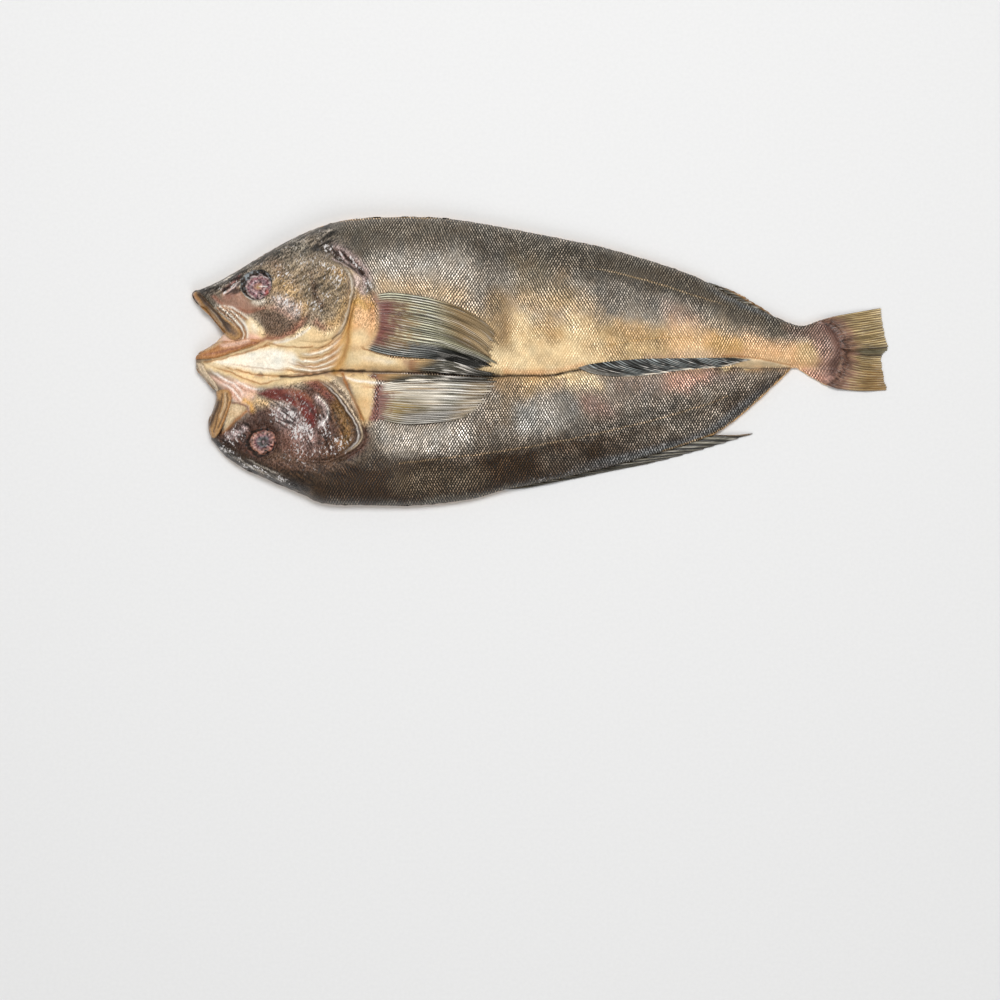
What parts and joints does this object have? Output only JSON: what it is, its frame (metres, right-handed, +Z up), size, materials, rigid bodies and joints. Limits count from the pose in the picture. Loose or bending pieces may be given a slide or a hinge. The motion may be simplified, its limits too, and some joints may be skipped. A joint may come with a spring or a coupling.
{
  "type": "half-dried atka mackerel",
  "caption": "Whole fish split along its back and opened flat, half dried, lying skin side up with both halves of the head, the fins and the tail.",
  "frame": {"origin": "bottom centre of the bounding box, on the surface that the fish lies on", "axes": "+X from the head to the tail, +Y to the side that keeps the tail, +Z up out of the skin"},
  "size_m": [0.3999, 0.1657, 0.0219],
  "materials": {
    "skin": "scaly, half dried, satin"
  },
  "bodies": {
    "root": {"fish": "skin"}
  },
  "joints": []
}
